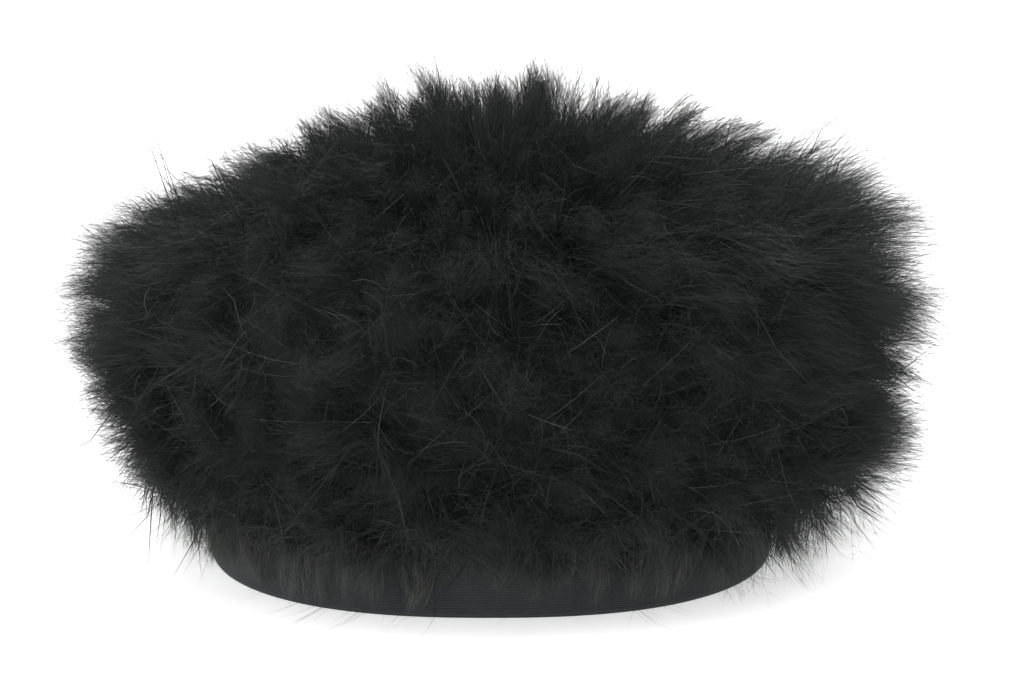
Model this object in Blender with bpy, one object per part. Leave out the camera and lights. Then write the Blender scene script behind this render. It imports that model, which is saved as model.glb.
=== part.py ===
"""Marabou feather hat: a hollow cloth crown, its ribbed band, and rings of black plumes round it.

Metres, +Z up. The hat stands on its band, with the origin at the middle of the rim. Its front faces -Y.
"""

import math
import random
from collections import namedtuple

import bmesh
import bpy
from mathutils import Vector

# Head opening, for a 56 cm head: the clear size inside the turned hem
HEAD_WIDTH = 0.158
HEAD_LENGTH = 0.192
OVAL_SQUARENESS = 2.4

# Crown
CROWN_WALL = 0.0018
CROWN_HEIGHT = 0.094
SHOULDER_RADIUS = 0.028
DOME_SLOPE = math.radians(14)

# Band
BAND_WALL = 0.0013
BAND_HEIGHT = 0.020
HEM_TURN = 0.006
HEM_ROUND = 0.0005

# Plumes
PLUME_LENGTH = 0.047
LOWEST_ROW_RISE = 0.0015
LOCK_SEED = 11

# Finishes: linear colour and roughness
CROWN_CLOTH = ((0.010, 0.010, 0.011), 0.85)
RIBBED_CLOTH = ((0.013, 0.014, 0.016), 0.75)
MARABOU = ((0.012, 0.012, 0.013), 0.70)

# Spaces between pieces
GAP = 0.0003
ROW_GAP = 0.0004

# Facets
CLOTH_SEGMENTS = 56
SHOULDER_STEPS = 4
DOME_STEPS = 3
ROW_COLUMNS = 36
TIERS_ON_SHOULDER = 4
CLOTH_CREASE = math.radians(35)
LOCK_CREASE = math.radians(60)
SAME_POINT = 1e-6
SAME_DEPTH = 1e-3

# A lock along its plume, as shares of the plume's length and of its own width
BACKING_DEPTH = 0.55
WALL_STEP = 0.28
LOCK_MIDDLE = 0.80
LOCK_WAIST = 0.62
LOCK_TIP_LEAST = 0.86
LOCK_LEAN = 0.38
WAIST_SWAY = 0.33
CENTRE_RING = 0.60

# Edges between the rows of plumes, from the band up to the middle of the top.
# seat: where the edge lies on the crown, as a share of the way from the band to the top.
# reach: from seat to tip, as a share of PLUME_LENGTH. rise: the way to the tip, in degrees above level.
# lift: how far the plume stands off the crown before it bends, as a share of PLUME_LENGTH.
# fuller: what the reach gains at +X and loses at -X. parted: what it loses at the front and back.
RowEdge = namedtuple("RowEdge", "seat reach rise lift fuller parted")
ROW_EDGES = [
    RowEdge(seat=0.000, reach=0.36, rise=-75, lift=0.15, fuller=0.15, parted=0.45),
    RowEdge(seat=0.084, reach=0.66, rise=-8, lift=0.33, fuller=0.26, parted=0.12),
    RowEdge(seat=0.180, reach=0.77, rise=4, lift=0.38, fuller=0.09, parted=0.00),
    RowEdge(seat=0.282, reach=0.87, rise=13, lift=0.42, fuller=0.03, parted=0.00),
    RowEdge(seat=0.413, reach=0.99, rise=15, lift=0.40, fuller=0.03, parted=0.00),
    RowEdge(seat=0.549, reach=0.99, rise=22, lift=0.40, fuller=0.21, parted=0.00),
    RowEdge(seat=0.706, reach=0.91, rise=42, lift=0.40, fuller=0.10, parted=0.00),
    RowEdge(seat=0.890, reach=0.86, rise=68, lift=0.42, fuller=0.05, parted=0.00),
    RowEdge(seat=1.000, reach=0.87, rise=90, lift=0.42, fuller=0.00, parted=0.00),
]

# The crown's outer section: an upright wall, a round shoulder and a shallow dome
CROWN_RADIUS = HEAD_WIDTH / 2 + BAND_WALL + GAP + CROWN_WALL
OVAL_EXTRA = (HEAD_LENGTH - HEAD_WIDTH) / 2
CROWN_FOOT = BAND_WALL + GAP
SHOULDER_TURN = math.pi / 2 - DOME_SLOPE
SHOULDER_CENTRE = CROWN_RADIUS - SHOULDER_RADIUS
DOME_RADIUS = (SHOULDER_CENTRE + SHOULDER_RADIUS * math.sin(DOME_SLOPE)) / math.sin(DOME_SLOPE)
WALL_TOP = (CROWN_HEIGHT - DOME_RADIUS * (1 - math.cos(DOME_SLOPE))
            - SHOULDER_RADIUS * math.cos(DOME_SLOPE))
SHOULDER_TOP = WALL_TOP + SHOULDER_RADIUS * SHOULDER_TURN
CROWN_ARC = SHOULDER_TOP + DOME_RADIUS * DOME_SLOPE
FIRST_SEAT = BAND_HEIGHT + LOWEST_ROW_RISE

# Flat facets cut across the crown's round shape, so the backings stand off it by that much and the gap
CORNER_TIGHTNESS = 1.4
PLAN_SAG = CORNER_TIGHTNESS * (CROWN_RADIUS + OVAL_EXTRA) * (1 - math.cos(math.pi / ROW_COLUMNS))
SHOULDER_SAG = CORNER_TIGHTNESS * SHOULDER_RADIUS * (1 - math.cos(SHOULDER_TURN / TIERS_ON_SHOULDER / 2))
BACKING_CLEARANCE = GAP + PLAN_SAG + SHOULDER_SAG


def oval(radius, angle, height):
    """Point on the head's oval: round and small at the top's middle, full length at the crown's wall."""
    across = math.cos(angle)
    along = math.sin(angle)
    squared = (abs(across) ** OVAL_SQUARENESS + abs(along) ** OVAL_SQUARENESS) ** (-1 / OVAL_SQUARENESS)
    share = min(radius / CROWN_RADIUS, 1)
    length = radius + OVAL_EXTRA * share * (2 - share)
    return Vector((radius * squared * across, length * squared * along, height))


def crown_seat(length, clearance):
    """Radius and height off the crown's section, and the way it faces, at a length up from z = 0."""
    if length <= WALL_TOP:
        centre, bend, facing = Vector((CROWN_RADIUS, length)), 0, 0
    elif length <= SHOULDER_TOP:
        centre, bend = Vector((SHOULDER_CENTRE, WALL_TOP)), SHOULDER_RADIUS
        facing = (length - WALL_TOP) / SHOULDER_RADIUS
    else:
        centre, bend = Vector((0, CROWN_HEIGHT - DOME_RADIUS)), DOME_RADIUS
        facing = math.pi / 2 - (CROWN_ARC - length) / DOME_RADIUS
    outward = Vector((math.cos(facing), math.sin(facing)))
    return centre + outward * (bend + clearance), outward


def plume_point(edge, angle, along):
    """Point in the field of plumes: edge counts up the rows, along runs from the root, 0, to the tip, 1."""
    row = min(int(edge), len(ROW_EDGES) - 2)
    share = edge - row
    here = RowEdge(*(low + (high - low) * share for low, high in zip(ROW_EDGES[row], ROW_EDGES[row + 1])))
    root, outward = crown_seat(FIRST_SEAT + (CROWN_ARC - FIRST_SEAT) * here.seat, BACKING_CLEARANCE)
    reach = PLUME_LENGTH * here.reach
    reach *= 1 + here.fuller * math.cos(angle)
    reach *= 1 - here.parted * math.sin(angle) ** 2
    rise = math.radians(here.rise)
    bend = root + outward * PLUME_LENGTH * here.lift
    tip = root + Vector((math.cos(rise), math.sin(rise))) * reach
    place = root * (1 - along) ** 2 + bend * 2 * along * (1 - along) + tip * along ** 2
    return oval(max(place.x, 0), angle, place.y)


def material(name, look):
    """Plain cloth or feather finish."""
    colour, roughness = look
    finish = bpy.data.materials.new(name)
    finish.use_nodes = True
    shader = finish.node_tree.nodes["Principled BSDF"]
    shader.inputs["Base Color"].default_value = (*colour, 1)
    shader.inputs["Roughness"].default_value = roughness
    shader.inputs["Metallic"].default_value = 0
    return finish


def section(bm, points, closed):
    """Chain of edges through points, given as radius and height."""
    verts = [bm.verts.new((radius, 0, height)) for radius, height in points]
    for first, second in zip(verts, verts[1:]):
        bm.edges.new((first, second))
    if closed:
        bm.edges.new((verts[-1], verts[0]))


def spin(bm, steps):
    """Turn the section once round the hat's axis."""
    bmesh.ops.spin(bm, geom=bm.verts[:] + bm.edges[:], axis=(0, 0, 1), cent=(0, 0, 0),
                   angle=2 * math.pi, steps=steps, use_merge=True)


def finish_piece(bm, name, finish, crease):
    """Close the mesh, face it outwards and make it an object."""
    bmesh.ops.remove_doubles(bm, verts=bm.verts[:], dist=SAME_POINT)
    bmesh.ops.recalc_face_normals(bm, faces=bm.faces[:])
    bmesh.ops.triangulate(bm, faces=bm.faces[:])
    mesh = bpy.data.meshes.new(name)
    bm.to_mesh(mesh)
    bm.free()
    mesh.materials.append(finish)
    mesh.shade_smooth()
    mesh.set_sharp_from_angle(angle=crease)
    piece = bpy.data.objects.new(name, mesh)
    bpy.context.collection.objects.link(piece)
    return piece


def cloth_ring(name, points, closed, finish):
    """Piece of cloth turned from a section and stretched to the head's oval."""
    bm = bmesh.new()
    section(bm, points, closed)
    spin(bm, CLOTH_SEGMENTS)
    for vert in bm.verts:
        angle = math.atan2(vert.co.y, vert.co.x)
        vert.co = oval(vert.co.xy.length, angle, vert.co.z)
    return finish_piece(bm, name, finish, CLOTH_CREASE)


def crown(finish):
    """Hollow cap: its section runs down the inside from the top, round the foot and up the outside."""
    lengths = [CROWN_FOOT, WALL_TOP]
    for step in range(1, SHOULDER_STEPS + 1):
        lengths.append(WALL_TOP + (SHOULDER_TOP - WALL_TOP) * step / SHOULDER_STEPS)
    for step in range(1, DOME_STEPS + 1):
        lengths.append(SHOULDER_TOP + (CROWN_ARC - SHOULDER_TOP) * step / DOME_STEPS)
    inside = [crown_seat(length, -CROWN_WALL)[0] for length in lengths]
    outside = [crown_seat(length, 0)[0] for length in lengths]
    return cloth_ring("crown", inside[::-1] + outside, False, finish)


def band(finish):
    """Strip that stands outside the crown's foot, folds under it and turns up a little inside."""
    inner = HEAD_WIDTH / 2
    outer = CROWN_RADIUS + GAP + BAND_WALL
    points = [
        (inner, HEM_ROUND),
        (inner + HEM_ROUND, 0),
        (outer - HEM_ROUND, 0),
        (outer, HEM_ROUND),
        (outer, BAND_HEIGHT),
        (outer - BAND_WALL, BAND_HEIGHT),
        (outer - BAND_WALL, BAND_WALL),
        (inner + BAND_WALL, BAND_WALL),
        (inner + BAND_WALL, HEM_TURN),
        (inner, HEM_TURN),
    ]
    return cloth_ring("band", points, True, finish)


def row_limits(row):
    """Lower and upper side of a row, each half the gap inside its edge."""
    low, high = ROW_EDGES[row].seat, ROW_EDGES[row + 1].seat
    trim = ROW_GAP / 2 / ((high - low) * (CROWN_ARC - FIRST_SEAT))
    return row + trim, row + 1 - trim


def place_round_row(face):
    """Order of a face in a straightened row: by its tier, then by the way round from just past -X."""
    centre = face.calc_center_median()
    return round(centre.z, 2), round(math.atan2(centre.y - SAME_DEPTH, centre.x), 3)


def grow_locks(bm, columns, tier, chance):
    """Draw each outer face of the straightened row out to a waist and on to a pointed, leaning tip."""
    faces = [face for face in bm.faces
             if all(vert.co.xy.length > 1 + BACKING_DEPTH - SAME_DEPTH for vert in face.verts)]
    locks = bmesh.ops.extrude_discrete_faces(bm, faces=faces)["faces"]
    for lock in sorted(locks, key=place_round_row):
        sway = chance.uniform(-LOCK_LEAN, LOCK_LEAN) * 2 * math.pi / columns
        droop = chance.uniform(-LOCK_LEAN, LOCK_LEAN) * tier
        centre = lock.calc_center_median()
        for vert in lock.verts:
            vert.co = centre + (vert.co - centre) * LOCK_WAIST
            lean_out(vert, sway * WAIST_SWAY, droop * WAIST_SWAY, LOCK_MIDDLE)
        tip = bmesh.ops.poke(bm, faces=[lock])["verts"][0]
        tip.co = centre
        lean_out(tip, sway, droop, chance.uniform(LOCK_TIP_LEAST, 1))


def lean_out(vert, sway, droop, along):
    """Turn a point of the straightened row sideways, raise it, and set its depth along the plume."""
    around = math.atan2(vert.co.y, vert.co.x) + sway
    vert.co = ((1 + along) * math.cos(around), (1 + along) * math.sin(around), vert.co.z + droop)


def bend_to_plumes(bm):
    """Carry the straightened row, where radius is depth and height is the edge, onto the crown."""
    for vert in bm.verts:
        angle = math.atan2(vert.co.y, vert.co.x)
        vert.co = plume_point(vert.co.z, angle, vert.co.xy.length - 1)


def marabou_row(row, columns, finish):
    """Ring of two tiers of locks on a backing that follows the crown."""
    bottom, top = row_limits(row)
    middle = (bottom + top) / 2
    bm = bmesh.new()
    section(bm, [
        (1, bottom),
        (1, middle),
        (1, top),
        (1 + WALL_STEP, top),
        (1 + BACKING_DEPTH, top),
        (1 + BACKING_DEPTH, middle),
        (1 + BACKING_DEPTH, bottom),
        (1 + WALL_STEP, bottom),
    ], True)
    spin(bm, columns)
    grow_locks(bm, columns, middle - bottom, random.Random(LOCK_SEED + row))
    bend_to_plumes(bm)
    return finish_piece(bm, f"marabou_row_{row + 1}", finish, LOCK_CREASE)


def marabou_centre(row, columns, finish):
    """Round tuft: one tier of locks round a lock that stands up in the middle of the top."""
    bottom = row_limits(row)[0]
    bm = bmesh.new()
    section(bm, [
        (1, bottom),
        (1 + WALL_STEP, bottom),
        (1 + BACKING_DEPTH, bottom),
        (1 + BACKING_DEPTH, row + CENTRE_RING),
    ], False)
    spin(bm, columns)
    grow_locks(bm, columns, CENTRE_RING, random.Random(LOCK_SEED + row))
    bend_to_plumes(bm)
    rims = [edge for edge in bm.edges if edge.is_boundary]
    caps = bmesh.ops.holes_fill(bm, edges=rims, sides=0)["faces"]
    upper = max(caps, key=lambda face: face.calc_center_median().z)
    lock = bmesh.ops.extrude_discrete_faces(bm, faces=[upper])["faces"][0]
    waist = plume_point(row + 1, 0, LOCK_MIDDLE)
    centre = lock.calc_center_median()
    for vert in lock.verts:
        vert.co = waist + (vert.co - centre) * LOCK_WAIST
    for tip in bmesh.ops.poke(bm, faces=[lock])["verts"]:
        tip.co = plume_point(row + 1, 0, 1)
    return finish_piece(bm, "marabou_centre", finish, LOCK_CREASE)


def build():
    """Make every piece of the hat."""
    for old in list(bpy.data.objects):
        bpy.data.objects.remove(old)
    crown(material("crown_cloth", CROWN_CLOTH))
    band(material("band_ribbed_cloth", RIBBED_CLOTH))
    last = len(ROW_EDGES) - 2
    for row in range(last):
        columns = ROW_COLUMNS if row < last - 1 else ROW_COLUMNS // 2
        marabou_row(row, columns, material(f"marabou_{row + 1}", MARABOU))
    marabou_centre(last, ROW_COLUMNS // 4, material("marabou_centre", MARABOU))


build()
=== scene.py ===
import math
from collections import namedtuple

import bmesh
import bpy
import numpy as np
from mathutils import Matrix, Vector


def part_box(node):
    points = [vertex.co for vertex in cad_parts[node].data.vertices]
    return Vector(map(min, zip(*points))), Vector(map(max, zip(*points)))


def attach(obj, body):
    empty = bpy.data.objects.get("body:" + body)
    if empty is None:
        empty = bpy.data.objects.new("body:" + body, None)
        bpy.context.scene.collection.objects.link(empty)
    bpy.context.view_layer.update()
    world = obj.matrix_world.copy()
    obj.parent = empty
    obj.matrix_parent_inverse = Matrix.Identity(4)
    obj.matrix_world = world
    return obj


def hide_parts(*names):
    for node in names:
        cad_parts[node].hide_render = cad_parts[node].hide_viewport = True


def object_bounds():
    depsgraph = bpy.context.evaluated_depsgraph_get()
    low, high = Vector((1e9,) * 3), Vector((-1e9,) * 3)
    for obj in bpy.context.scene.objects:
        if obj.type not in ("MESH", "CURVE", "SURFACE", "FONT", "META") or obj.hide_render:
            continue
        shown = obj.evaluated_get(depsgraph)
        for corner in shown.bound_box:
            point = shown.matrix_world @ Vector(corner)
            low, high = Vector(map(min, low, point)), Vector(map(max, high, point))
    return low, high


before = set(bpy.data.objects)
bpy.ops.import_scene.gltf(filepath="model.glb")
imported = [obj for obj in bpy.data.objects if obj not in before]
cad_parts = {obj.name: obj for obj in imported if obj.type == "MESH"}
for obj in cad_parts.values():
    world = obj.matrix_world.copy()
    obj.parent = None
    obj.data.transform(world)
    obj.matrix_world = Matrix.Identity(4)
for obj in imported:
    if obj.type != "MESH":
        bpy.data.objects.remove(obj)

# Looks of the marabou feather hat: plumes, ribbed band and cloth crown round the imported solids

CAD_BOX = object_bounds()

# Sizes read from the solids
CROWN_TOP_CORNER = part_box("crown")[1]
BAND_TOP_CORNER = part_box("band")[1]
CROWN_RADIUS = CROWN_TOP_CORNER.x
OVAL_EXTRA = CROWN_TOP_CORNER.y - CROWN_TOP_CORNER.x
CROWN_HEIGHT = CROWN_TOP_CORNER.z
CROWN_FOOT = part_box("crown")[0].z
BAND_RADIUS = BAND_TOP_CORNER.x
BAND_HEIGHT = BAND_TOP_CORNER.z

# The crown's and the band's sections, as in the solids
OVAL_SQUARENESS = 2.4
CROWN_WALL = 0.0018
SHOULDER_RADIUS = 0.028
DOME_SLOPE = math.radians(14)
BAND_WALL = 0.0013
BAND_CLEARANCE = 0.0003
HEM_TURN = 0.006
HEM_RADIUS = BAND_RADIUS - 2 * BAND_WALL - CROWN_WALL - 2 * BAND_CLEARANCE

SHOULDER_TURN = math.pi / 2 - DOME_SLOPE
SHOULDER_CENTRE = CROWN_RADIUS - SHOULDER_RADIUS
DOME_RADIUS = (SHOULDER_CENTRE + SHOULDER_RADIUS * math.sin(DOME_SLOPE)) / math.sin(DOME_SLOPE)
WALL_TOP = (CROWN_HEIGHT - DOME_RADIUS * (1 - math.cos(DOME_SLOPE))
            - SHOULDER_RADIUS * math.cos(DOME_SLOPE))
SHOULDER_TOP = WALL_TOP + SHOULDER_RADIUS * SHOULDER_TURN
CROWN_ARC = SHOULDER_TOP + DOME_RADIUS * DOME_SLOPE

# The field of plumes, as in the solids
PLUME_LENGTH = 0.047
FIRST_SEAT = BAND_HEIGHT + 0.0015
ROOT_CLEARANCE = 0.0011
RowEdge = namedtuple("RowEdge", "seat reach rise lift fuller parted")
ROW_EDGES = [
    RowEdge(seat=0.000, reach=0.36, rise=-75, lift=0.15, fuller=0.15, parted=0.45),
    RowEdge(seat=0.084, reach=0.66, rise=-8, lift=0.33, fuller=0.26, parted=0.12),
    RowEdge(seat=0.180, reach=0.77, rise=4, lift=0.38, fuller=0.09, parted=0.00),
    RowEdge(seat=0.282, reach=0.87, rise=13, lift=0.42, fuller=0.03, parted=0.00),
    RowEdge(seat=0.413, reach=0.99, rise=15, lift=0.40, fuller=0.03, parted=0.00),
    RowEdge(seat=0.549, reach=0.99, rise=22, lift=0.40, fuller=0.21, parted=0.00),
    RowEdge(seat=0.706, reach=0.91, rise=42, lift=0.40, fuller=0.10, parted=0.00),
    RowEdge(seat=0.890, reach=0.86, rise=68, lift=0.42, fuller=0.05, parted=0.00),
    RowEdge(seat=1.000, reach=0.87, rise=90, lift=0.42, fuller=0.00, parted=0.00),
]
ROWS = len(ROW_EDGES) - 1
EDGE_COLUMNS = RowEdge(*np.array(ROW_EDGES).T)

# Where the plumes start, evenly spread over the outside of the fur
PLUMES = 4400
RANDOM_SEED = 4100
LOWEST_ROW_SHARE = 0.75
FUR_OUTSIDE = 0.8
SURFACE_STEPS = (0.7548776662, 0.5698402910)
RING_STEP = 0.6180339887
SCATTER_ANGLE = math.pi / 4
SCATTER_POINTS = 33
AREA_POINTS = (9, 49)
FLOW_STEP = 0.04
EDGE_STEP = 0.03

# How the plumes lean: slow swirls, chance, and tufts that draw their tips together
Swirl = namedtuple("Swirl", "size turns climb phase")
EDGE_SWIRLS = [Swirl(0.16, 3, 1.7, 0.4), Swirl(0.13, 7, -2.3, 2.0), Swirl(0.10, 13, 4.1, 0)]
ANGLE_SWIRLS = [Swirl(0.030, 5, 2.9, 1.1), Swirl(0.025, 11, -3.7, 0), Swirl(0.018, 17, 6.1, 0.7)]
EDGE_SWAY = 0.13
ANGLE_SWAY = 0.026
SPLAY_FROM = 0.72
PLUMES_PER_TUFT = 6
TUFT_PULL = 0.81
TUFT_BEND = 0.0068
PLUME_BEND = 0.0018

# How long the plumes are, as shares of their field's own length
Varied = namedtuple("Varied", "usual spread least most")
TUFT_LENGTH = Varied(usual=1.02, spread=0.105, least=0.84, most=1.28)
LENGTH_IN_TUFT = Varied(usual=1.0, spread=0.04, least=0.88, most=1.1)

# The upper plumes sweep up and in, by how far up the rows they start
UPSWEEP = 0.0060
UPSWEPT_EDGES = ([4.3, 5.2, 6.8, 7.6], [0, 1, 1, 0])
UPSWEPT_SHORTER = 0.07

# How much longer or shorter the plumes are at the hat's left and right than the solids' rows have them
Trim = namedtuple("Trim", "edge left right")
TRIMS = Trim(*np.array([(0.0, -0.48, -0.22), (0.5, 0.08, 0.14), (1.0, 0.10, 0.22), (1.5, 0.08, 0.02),
                        (2.0, 0.06, -0.03), (2.5, -0.01, -0.02), (3.0, -0.01, 0.04), (3.5, 0.03, 0.15),
                        (4.0, 0.00, 0.24), (4.5, -0.14, 0.10), (5.0, -0.23, -0.20), (5.5, -0.15, -0.19),
                        (6.0, -0.10, -0.14), (7.0, -0.08, 0.06), (8.0, 0.00, 0.00)]).T)

# Shades of the plumes: painted shade darkens the front, and painted light lightens the sides and the
# lowest rows
TUFT_SHADE = 0.54
TUFT_SHADE_SPREAD = 0.07
FRONT_PAINTED_SHADE = 0.19
FRONT_PAINTED_SHADE_EDGES = ([0, 2, 6, 7], [0, 1, 1, 0])
SIDES_PAINTED_LIGHT = 0.07
LOW_EDGES_PAINTED_LIGHT = ([0, 1.2, 2.2], [0.16, 0.06, 0])
SHADE_IN_TUFT = Varied(usual=0, spread=0.08, least=0.1, most=0.84)

# Layers of barbs, from the packed core out
Layer = namedtuple("Layer", "per_plume points start_least start_most end end_gain end_spread "
                            "splay closing drawn width shade")
# The under-down's shade share of 0.75 darkens this deep layer: painted shade in the depth of the fur
UNDER_DOWN = Layer(per_plume=12, points=3, start_least=0.44, start_most=0.66, end=0.72, end_gain=0.12,
                   end_spread=0.05, splay=42, closing=0.2, drawn=0.30, width=0.00027, shade=0.75)
LONG_BARBS = Layer(per_plume=11, points=4, start_least=0.46, start_most=0.68, end=0.95, end_gain=0.05,
                   end_spread=0.055, splay=15, closing=0.68, drawn=1.0, width=0.000075, shade=1.0)
SHORT_BARBS = Layer(per_plume=21, points=3, start_least=0.62, start_most=0.86, end=0.93, end_gain=0.07,
                    end_spread=0.045, splay=20, closing=0.62, drawn=1.0, width=0.000077, shade=1.0)
LEAST_BARB = 0.10
SPLAY_SPREAD = 0.5
MOST_SPLAY = 60
MOST_LEAN = 1.25
BULGE = 1.9
BARB_CURL = 0.0012
BARB_DROOP = 0.0022
BARB_WIDTH_SPREAD = 0.28
BARB_SHADE = Varied(usual=0, spread=0.10, least=0.03, most=0.86)

# Barbules, slivers along the outer part of the barbs
BARBULES_PER_PLUME = 17
BARBULE_PLACES = (0.30, 0.98)
BARBULE_SLANTS = (10, 38)
BARBULE_LENGTHS = (0.0020, 0.0052)
BARBULE_WIDTH = 0.000055
BARBULE_LIGHTER = 0.05

# Stray hairs that lie across the plumes, their light shades painted highlights
STRAY_HAIRS = 3000
STRAY_POINTS = 5
STRAY_STARTS = (0.62, 0.90)
STRAY_REACHES = (0.12, 0.30)
STRAY_EDGE_SWAY = 0.36
STRAY_ANGLE_SWAY = 0.08
STRAY_CURL = 0.0042
STRAY_WIDTH = 0.00007
HAIR_WIDTH_SPREAD = 0.2
STRAY_PAINTED_HIGHLIGHTS = (0.89, 0.99)

# Limp plumes that hang over the band in locks: how far out, up or down they root, bow and end
HANGING_PLUMES = 480
HANGING_BARBS = 19
HANGING_POINTS = 4
HANGING_LOCKS = 64
LOCK_SWAY = 0.05
LOCK_DROP = 0.0042
LOCK_PULL = 0.8
SWAY_IN_LOCK = 0.012
LEFT_CLOSER = 0.9
ROOTS_OUT, ROOTS_UP = (0.002, 0.007), (0.000, 0.012)
BOWS_OUT, BOWS_DOWN, BOW_SWAY = (0.004, 0.012), (0.000, 0.008), 0.3
ENDS_OUT = (0.0012, 0.008)
END_HEIGHT = 0.0085
END_HEIGHT_SPREAD = 0.0020
LEAST_END_HEIGHT = 0.001
SIDES_LOWER = 0.0085
HANGING_STARTS = (0, 0.6)
HANGING_END = 0.93
HANGING_END_SPREAD = 0.09
LEAST_HANGING_BARB = 0.25
HANGING_SPREAD = 0.0030
HANGING_BULGE, HANGING_CLOSING = 2.2, 1.7
HANGING_WIDTH = 0.00012
HANGING_WIDTH_SPREAD = 0.25
# The hanging barbs take the lightest shades: painted light, as if lit through from behind
HANGING_PAINTED_LIGHT = Varied(usual=0.90, spread=0.03, least=0.7, most=0.96)
OFF_BAND = 1.006
ABOVE_BAND = 0.001

# Loose hairs that trail onto the floor in front of the rim
Trail = namedtuple("Trail", "x hairs past")
TRAILS = [Trail(-0.064, 4, 0.012), Trail(-0.048, 6, 0.022), Trail(-0.034, 3, 0.022),
          Trail(-0.029, 3, 0.020), Trail(-0.018, 4, 0.026), Trail(0.027, 3, 0.024),
          Trail(0.045, 8, 0.026), Trail(0.075, 8, 0.012)]
TrailStep = namedtuple("TrailStep", "out past height")
TRAIL_STEPS = TrailStep(*np.array([(0.0045, 0, BAND_HEIGHT + 0.004), (0.0035, 0, BAND_HEIGHT * 0.8),
                                   (0.0016, 0, BAND_HEIGHT * 0.4), (0.0014, 0, 0.0012),
                                   (0.0014, 0.5, 0.0005), (0.0014, 1, 0.0005)]).T)
TRAIL_SCATTER = 0.0035
TRAIL_DRIFT = 0.035
TRAIL_DRIFT_POWER = 1.5
TRAIL_LENGTHS = (0.6, 1.25)
TRAIL_WIDER = 1.3
TRAIL_SHADES = (0.3, 0.6)
RIM_POINTS = 721

# Packed core under the barbs
CORE_DEPTH = 0.56
CORE_COLUMNS = 96
CORE_TIERS = 6
LAST_TIER = 0.999
CORE_LUMPS = (Swirl(0.05, 19, 5, 0), Swirl(1, 3, 7, 0))
LUMPS_FROM = 0.25

# Ribbons, and their place on the map: shade across it, and from root to tip up it
TAPER = ([0, 0.35, 0.7, 1], [1.1, 1.0, 0.55, 0.0])
SHADE_WIDTH = 0.008
MAP_MARGIN = 0.02

# Room round the solids, which strands may not leave
ROOM_SHARE = 0.03
ROOM_EXTRA = 0.0095
LEAST_HEIGHT = 0.0004
ROOM = [ROOM_SHARE * (high - low) + ROOM_EXTRA for low, high in zip(*CAD_BOX)]
LEAST_CORNER = np.array([*(low - room for low, room in zip(CAD_BOX[0][:2], ROOM)), LEAST_HEIGHT])
MOST_CORNER = np.array([high + room for high, room in zip(CAD_BOX[1], ROOM)])

# Cloth of the crown and the band
CROWN_COLUMNS = 144
WALL_POINTS, SHOULDER_POINTS, DOME_POINTS = 5, 12, 10
BAND_COLUMNS = 216
RIB_PITCH = 0.00058
RIB_DEPTH = 0.00012
RIB_CREST = (0.3, 0.7)
FIRST_RIB = 2
TOP_EDGE = 0.0006
EDGE_ROUND = 0.0003
FOLD_INSIDE = [(0.0, 0.0006), (0.0002, 0.0002), (0.0006, 0.0)]
FOLD_OUTSIDE = [(0.0009, 0.0), (0.0003, 0.00025), (0.0001, 0.0007)]
MERGE_DISTANCE = 1e-5
CREASE = math.radians(50)
# Each cloth runs from its dark colour, painted shade in the grooves, to its light colour on the crests
Cloth = namedtuple("Cloth", "dark light threads rib_pitch relief")
CROWN_CLOTH = Cloth(dark=(0.010, 0.011, 0.012), light=(0.030, 0.031, 0.032), threads=900,
                    rib_pitch=0.0006, relief=0.00008)
RIBBED_CLOTH = Cloth(dark=(0.010, 0.0115, 0.0125), light=(0.052, 0.059, 0.061), threads=1500,
                     rib_pitch=RIB_PITCH, relief=0.00006)
RIB_TONE, THREAD_TONE, LEAST_FIBRE = 1.6, 0.4, 0.45
FIBRE_SCALE, FIBRE_DETAIL = 700, 5
RELIEF_STRENGTH = 0.6

# Colours of the down, by shade, and the dark between the barbs; painted shade darkens the down at the
# root and lightens it at the tip, and the lightest stops hold the painted light of the hanging barbs and
# the painted highlights of the stray hairs
DOWN_COLOURS = [(0.00, (0.0155, 0.0170, 0.0164)), (0.25, (0.0235, 0.0258, 0.0250)),
                (0.55, (0.0305, 0.0334, 0.0322)), (0.75, (0.0420, 0.0455, 0.0430)),
                (0.87, (0.0640, 0.0670, 0.0610)), (0.90, (0.0700, 0.0730, 0.0690)),
                (1.00, (0.1700, 0.1720, 0.1660))]
ROOT_PAINTED_SHADE, TIP_PAINTED_LIGHT = 0.65, 1.15
PACKED_COLOUR = (0.0180, 0.0196, 0.0190)

# The white room: a floor that sweeps up into a backdrop, its light and the camera
FLOOR_HALF_WIDTH = 4
FLOOR_FRONT = -3
SWEEP_START = 2.5
SWEEP_RADIUS = 1
SWEEP_POINTS = 13
BACKDROP_TOP = 4
FLOOR_COLOUR = (0.9, 0.9, 0.9)
FLOOR_GLOW = 0.55
WHITE = (1, 1, 1)
ROOM_LIGHT = (0.74, 2.16)
Lamp = namedtuple("Lamp", "name place target size power")
LAMPS = [Lamp("overhead", place=(0, -0.2, 1.6), target=(0, 0, 0.05), size=(1.6, 1.2), power=9),
         Lamp("front_left", place=(-1.3, -1.5, 0.9), target=(0, 0, 0.06), size=(0.9, 0.9), power=7)]
CAMERA_PLACE = (0.006, -1.082, 0.2581)
CAMERA_TARGET = (0.006, 0, 0.0597)
SENSOR_WIDTH = 36
FOCAL_LENGTH = 128.9


def oval(radius, angle, height):
    """Points on the head's oval, round and small at the top's middle, full length at the crown's wall."""
    across, along = np.cos(angle), np.sin(angle)
    squared = (abs(across) ** OVAL_SQUARENESS + abs(along) ** OVAL_SQUARENESS) ** (-1 / OVAL_SQUARENESS)
    share = np.minimum(radius / CROWN_RADIUS, 1)
    length = radius + OVAL_EXTRA * share * (2 - share)
    return np.stack(np.broadcast_arrays(radius * squared * across, length * squared * along, height), -1)


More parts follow.
